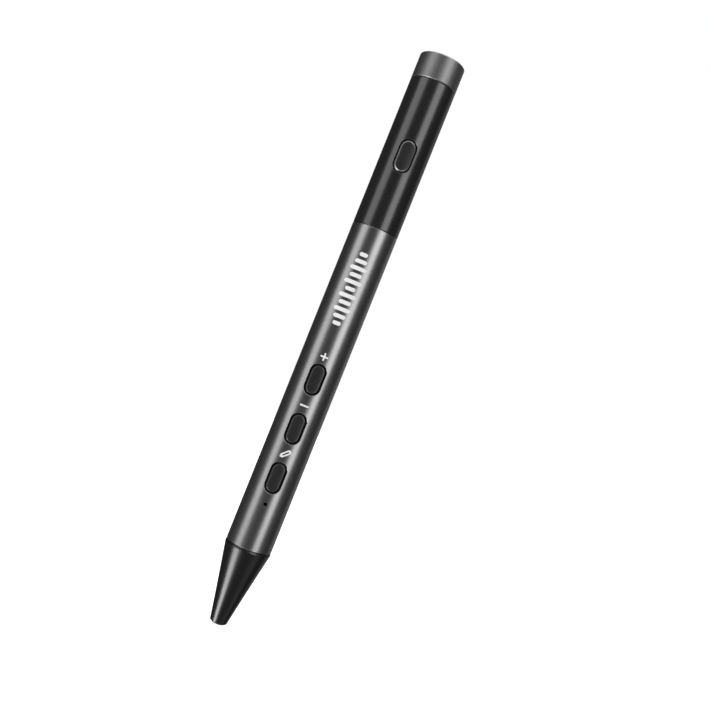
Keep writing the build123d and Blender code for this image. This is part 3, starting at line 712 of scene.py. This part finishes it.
# the chamfered ends: how far in and back each row is, in shares of the chamfer
end_rows = ((0, 1.12), (0.04, 0.93), (0.93, 0.04), (1.12, 0), (1.6, 0), (3.4, 0), (4.1, 0.4))
ends = (
    (front_wall.low_outside, front_wall.low_inside, NOSE_END, BROKEN),
    (front_wall.high_outside, front_wall.high_inside, FRONT_END, -BROKEN),
)
for outside, inside, z, back in ends:
    rows = [front_wall.circle(BARREL_R - BROKEN * share, z + back * rise) for share, rise in end_rows]
    front_wall.bands([outside, *rows, inside])
grey_anodised = satin("grey_anodised", (0.315, 0.315, 0.317), 0.31, 0.07, 1.0, 0.09, 0.0016)
round_off(front_wall.piece(
    "front_barrel_shell", [grey_anodised, soft_rubber], "pen_body", "front_barrel", "front_barrel"))

# ==== rear barrel =======================================================================
# Moulded black plastic with a satin skin. One slot for the top key, and a stepped spigot
# behind the shoulder, with a groove for the O-ring and a pill-shaped mouth for the port.

rear_low, rear_high = span("rear_barrel")
cap_low, cap_high = span("end_cap")
REAR_START, REAR_END = rear_low[2], rear_high[2]
REAR_BORE = BARREL_R - 1.2
SHOULDER = cap_low[2] - 0.25
SHOULDER_EDGE = 0.05
SHOULDER_WALL = 1.2
SOFT = 0.10            # the rounding of the edge at the middle seam
SPIGOT_R = 5.6
SPIGOT_BORE = 4.7
TOP_KEY_L, TOP_KEY_W, TOP_KEY_GAP = 8.7, 4.2, 0.35
top_window = (middle("top_switch_stem"), (TOP_KEY_L - TOP_KEY_W) / 2, TOP_KEY_W / 2 + TOP_KEY_GAP)

low_end, high_end = REAR_START + SOFT + END_ROW, SHOULDER - SHOULDER_EDGE - END_ROW
rear_wall = Wall(REAR_BORE, [top_window], low_end, high_end)
seam_edge = [
    (BARREL_R, REAR_START + SOFT), (BARREL_R - 0.3 * SOFT, REAR_START + 0.3 * SOFT),
    (BARREL_R - SOFT, REAR_START), (REAR_BORE, REAR_START),
]
rows = [rear_wall.circle(r, z) for r, z in seam_edge]
rear_wall.bands([rear_wall.low_outside, *rows, rear_wall.low_inside])

GROOVE_R = 5.1
GROOVE_ROOM = 0.05     # past each side of the O-ring
ring_low, ring_high = span("cap_o_ring")
groove_low, groove_high = ring_low[2] - GROOVE_ROOM, ring_high[2] + GROOVE_ROOM
spigot = [
    (BARREL_R, SHOULDER - SHOULDER_EDGE), (BARREL_R - SHOULDER_EDGE, SHOULDER),
    (BARREL_R - 0.15, SHOULDER), (SPIGOT_R + 0.1, SHOULDER), (SPIGOT_R, SHOULDER + 0.1),
    (SPIGOT_R, groove_low - 0.05), (SPIGOT_R, groove_low), (GROOVE_R, groove_low),
    (GROOVE_R, groove_high), (SPIGOT_R, groove_high), (SPIGOT_R, groove_high + 0.05),
    (SPIGOT_R, REAR_END - 0.25), (SPIGOT_R - 0.06, REAR_END - 0.08), (SPIGOT_R - 0.22, REAR_END),
    (SPIGOT_R - 0.4, REAR_END),
]
PORT_W, PORT_H = 8.94, 3.16
PORT_ROOM = 0.12
END_WALL = 1.2
AROUND = 5.2           # the mouth's points face those of a circle of this radius
# the mouth's rows: how far out and how deep each is
mouth = ((0.12, 0), (0.03, 0.02), (0, 0.1), (0, END_WALL), (0.05, END_WALL))
rows = [rear_wall.circle(r, z) for r, z in spigot]
for out, depth in mouth:
    points = []
    for place in ring(AROUND, 0, rear_wall.turns):
        x, y, _ = pill_point(place, (PORT_W - PORT_H) / 2, PORT_H / 2 + PORT_ROOM + out, along=0)
        points.append((x, y, REAR_END - depth))
    rows.append(rear_wall.row(points))
step_z = SHOULDER - SHOULDER_WALL
cavity = ((SPIGOT_BORE, REAR_END - END_WALL), (SPIGOT_BORE, step_z), (REAR_BORE, step_z))
rows += [rear_wall.circle(r, z) for r, z in cavity]
rear_wall.bands([rear_wall.high_outside, *rows, rear_wall.high_inside])
rear_black = satin("rear_black", (0.012, 0.012, 0.0125), 0.25, 0.07, 0.0, 0.10, 0.0014, 1.0)
round_off(rear_wall.piece("rear_barrel_shell", [rear_black], "pen_body", "rear_barrel", "rear_barrel"))

# ==== keys ==============================================================================
# Moulded keys that follow the barrel's curve, each with a shelf inside to hold it in and a
# post onto its switch. The front ones are matte black, with a painted highlight along the line
# inside the rim; the top one has a bright-cut edge.

KEY_POINTS = 96
KEY_SINK = 0.05        # the key's top below the barrel's skin
POST_R = 1.2
SHELF_ROOM = 0.15      # the shelf's room under the bore
SHELF_T = 0.6
SHELF_REACH = 0.4      # past the slot's edge
POINT_REACH = 0.6      # the narrowest row that gives its points their directions


def pill_row(half_spine, half_width, centre, radius, depth):
    """A pill-shaped row of points round a key, on a cylinder of the given radius or at one depth."""
    wide = max(half_width, POINT_REACH)
    points = []
    for k in range(KEY_POINTS):
        turn = 2 * pi * k / KEY_POINTS
        place = (1.2 * wide * sin(turn), 1.2 * (half_spine + wide) * cos(turn))
        x, z, _ = pill_point(place, half_spine, half_width)
        points.append((x, depth if radius is None else -sqrt(radius * radius - x * x), z + centre))
    return points


def key_cap(name, length, width, gap, bore, edge, slope, materials, body, slot):
    """A key from its post to its curved top, as one closed skin.

    The edge is how wide its sloped rim is, and the slope is how far the rim falls. The
    materials are those of the body, the rim and the line between the rim and the top.
    """
    centre = middle(f"{name}_switch_stem")
    post_y = span(f"{name}_switch_stem")[0][1]
    spine, reach = (length - width) / 2, width / 2
    shelf = bore - SHELF_ROOM
    shelf_back = shelf - SHELF_T
    flange = reach + gap + SHELF_REACH
    top = BARREL_R - KEY_SINK
    flat = reach - edge
    # each row: half its spine, half its width, its radius or its depth, and its material
    stages = [
        (0, 0, None, post_y, 0), (0, POST_R - 0.05, None, post_y, 0), (0, POST_R, None, post_y - 0.06, 0),
        (0, POST_R, shelf_back + 0.05, None, 0), (spine * 0.5, 1.5, shelf_back, None, 0),
        (spine, flange - 0.05, shelf_back, None, 0), (spine, flange, shelf_back + 0.05, None, 0),
        (spine, flange, shelf - 0.05, None, 0), (spine, flange - 0.05, shelf, None, 0),
        (spine, reach + 0.05, shelf, None, 0), (spine, reach, shelf + 0.05, None, 0),
        (spine, reach, top - slope - 0.06, None, 0), (spine, reach, top - slope - 0.02, None, 0),
        (spine, reach - 0.02, top - slope + 0.01, None, 1), (spine, flat + 0.06, top - 0.035, None, 1),
        (spine, flat + 0.01, top - 0.014, None, 2), (spine, flat - 0.04, top - 0.003, None, 2),
        (spine, flat - 0.10, top, None, 2), (spine, flat * 0.62, top, None, 0),
        (spine, flat * 0.3, top, None, 0), (spine, 0, top, None, 0),
    ]
    skin = Skin()
    rows = [skin.row(pill_row(half, wide, centre, r, y)) for half, wide, r, y, _ in stages]
    for one, two, stage in zip(rows, rows[1:], stages[1:]):
        skin.band(one, two, finish=stage[4])
    weigh(skin.piece(f"{name}_key_cap", materials, body, slot, f"{name}_button", sharp=60))


key_black = satin("key_black", (0.013, 0.013, 0.0133), 0.46, 0.10, 0.0, 0.12, 0.006, 0.4)
# the line inside the front keys' rims is glossier, which is real, and a little lighter, which is a painted
# highlight
key_line_painted_highlight = satin("key_line_painted_highlight", (0.03, 0.03, 0.0305), 0.30, 0.06, 0.0, 0.09, 0.001, 1.0)
bright_cut = brushed("bright_cut", (0.38, 0.38, 0.385), 0.42, 3)
front_finish = [key_black, key_black, key_line_painted_highlight]
for key in front_keys:
    key_cap(key, KEY_L, KEY_W, KEY_GAP, FRONT_BORE, 0.34, 0.3, front_finish, f"{key}_key", "keys")
top_finish = [key_black, bright_cut, key_black]
key_cap("top", TOP_KEY_L, TOP_KEY_W, TOP_KEY_GAP, REAR_BORE, 0.42, 0.2, top_finish, "top_key", "top_key")

# ==== printed signs =====================================================================
# Pale pad-printed ink on the front barrel, a few hundredths of a millimetre thick: a plus,
# a minus and a pen beside their keys, and a plain row of level bars further up.

INK = 0.02
INK_ROOT = -0.005      # the ink's underside is just in the metal
ink_white = satin("printed_ink", (0.96, 0.96, 0.96), 0.5, 0.08, 0.0, 0.12, 0.002)


def printed(name, left, right, closed=False):
    """A raised band of ink between two lines of (x, z) points, with its sides down to the metal."""
    skin = Skin()
    sides = []
    for line, lift in ((left, INK_ROOT), (left, INK), (right, INK), (right, INK_ROOT)):
        r = BARREL_R + lift
        sides.append(skin.row([(x, -sqrt(r * r - x * x), z) for x, z in line]))
    for one, two in zip(sides, sides[1:] + sides[:1]):
        skin.band(one, two, closed=closed)
    skin.piece(name, [ink_white], "pen_body", "print", sharp=60)


BAR_STEPS = 14
END_STEPS = 6


def capped_bar(start, stop, width):
    """Both sides of a straight bar with round ends."""
    start, stop = Vector(start), Vector(stop)
    along = (stop - start).normalized()
    across = Vector((-along.y, along.x))
    length, half = (stop - start).length, width / 2
    end_places = [half * (1 - cos(pi / 2 * i / END_STEPS)) for i in range(END_STEPS + 1)]
    places = end_places + [half + (length - width) * i / BAR_STEPS for i in range(1, BAR_STEPS)]
    places += [length - place for place in reversed(end_places)]
    left, right = [], []
    for place in places:
        from_end = min(place, length - place, half)
        out = sqrt(max(0.0, half**2 - (half - from_end) ** 2))
        left.append(tuple(start + along * place + across * out))
        right.append(tuple(start + along * place - across * out))
    return left, right


BAR_W = 0.45
ARM = 1.1
ARM_START = 0.2 * BAR_W
plus_z, minus_z, pen_z = front_keys["plus"] + 6.54, front_keys["minus"] + 6.6, front_keys["pen"] + 6.94
bars = {
    "plus_sign_upright": ((0, plus_z - ARM), (0, plus_z + ARM)),
    "plus_sign_left": ((-ARM, plus_z), (-ARM_START, plus_z)),
    "plus_sign_right": ((ARM_START, plus_z), (ARM, plus_z)),
    "minus_sign": ((-1.35, minus_z), (1.2, minus_z)),
}
for name, (start, stop) in bars.items():
    printed(name, *capped_bar(start, stop, BAR_W))

# the pen sign is the slanted outline of a pen
PEN_TILT = radians(42)
PEN_PARTS = 5          # points along each side
pen_half = [(-1.75, 0.0), (-1.15, 0.55), (1.1, 0.62), (1.55, 0.38), (1.72, 0.0)]
slot_half = [(-1.0, 0.0), (-0.75, 0.17), (0.85, 0.22), (1.05, 0.14), (1.12, 0.0)]


def slanted(half_outline):
    """A closed outline from its upper half, turned by its tilt, with points added along its sides."""
    corners = half_outline + [(x, -z) for x, z in half_outline[-2:0:-1]]
    drawn = []
    for (x0, z0), (x1, z1) in zip(corners, corners[1:] + corners[:1]):
        for i in range(PEN_PARTS):
            x, z = x0 + (x1 - x0) * i / PEN_PARTS, z0 + (z1 - z0) * i / PEN_PARTS
            turned_x, turned_z = x * cos(PEN_TILT) - z * sin(PEN_TILT), x * sin(PEN_TILT) + z * cos(PEN_TILT)
            drawn.append((turned_x, pen_z + turned_z))
    return drawn


printed("pen_sign", slanted(pen_half), slanted(slot_half), closed=True)

LEVELS = (2.3, 3.4, 4.6, 3.4, 4.9, 2.9, 4.9, 3.4, 4.6, 3.4, 2.3)
LEVEL_W = 1.08
LEVEL_X = -0.35
FIRST_LEVEL, LAST_LEVEL = 16.2, 35.8   # above the plus key's middle
for i, length in enumerate(LEVELS):
    z = front_keys["plus"] + FIRST_LEVEL + (LAST_LEVEL - FIRST_LEVEL) * i / (len(LEVELS) - 1)
    bar = capped_bar((LEVEL_X - length / 2, z), (LEVEL_X + length / 2, z), LEVEL_W)
    printed(f"level_bar_{i + 1}", *bar)

# ==== charging port =====================================================================
# A drawn steel shell round a black tongue with gold contacts, set in the spigot's end. It
# shows when the end cap is off.

dress(bright_steel, "usb_shell")
dress(dark_plastic, "usb_tongue")
dress(gold_plate, "usb_contacts")
dress(soft_rubber, "cap_o_ring")

# ==== end cap ===========================================================================
# An aluminium cap, turned, blasted and anodised a lighter grey than the barrel. It pushes
# over the spigot and its O-ring, and both its edges are turned bright.

CAP_BORE = BARREL_R - 0.75
CAP_FLOOR = cap_high[2] - 1.5
CAP_FLAT_R = 4.5
MOUTH_Z, MOUTH_BEVEL, MOUTH_INSIDE = cap_low[2], 0.18, 0.12
TOP_ROUND = 0.35
cap_profile = outline(
    (0, cap_high[2], 0),
    (CAP_FLAT_R, cap_high[2], 0),
    (BARREL_R, cap_high[2], TOP_ROUND),
    (BARREL_R, MOUTH_Z + MOUTH_BEVEL + 0.4, 0),
    (BARREL_R, MOUTH_Z + MOUTH_BEVEL, 0.03),
    (BARREL_R - MOUTH_BEVEL, MOUTH_Z, 0.03),
    (CAP_BORE + MOUTH_INSIDE, MOUTH_Z, 0),
    (CAP_BORE, MOUTH_Z + MOUTH_INSIDE, 0),
    (CAP_BORE, CAP_FLOOR, 0.2),
    (0, CAP_FLOOR, 0),
)
cap_grey = satin("cap_anodised", (0.24, 0.24, 0.242), 0.45, 0.08, 1.0, 0.09, 0.0022)
turned_edge = brushed("turned_edge", (0.40, 0.40, 0.41), 0.42, 0.2)
bright_edges = [(MOUTH_Z, MOUTH_Z + MOUTH_BEVEL), (cap_high[2] - TOP_ROUND, cap_high[2])]
turned("end_cap_shell", cap_profile, [cap_grey, turned_edge], "cap", "end_cap", "end_cap", bright_edges)
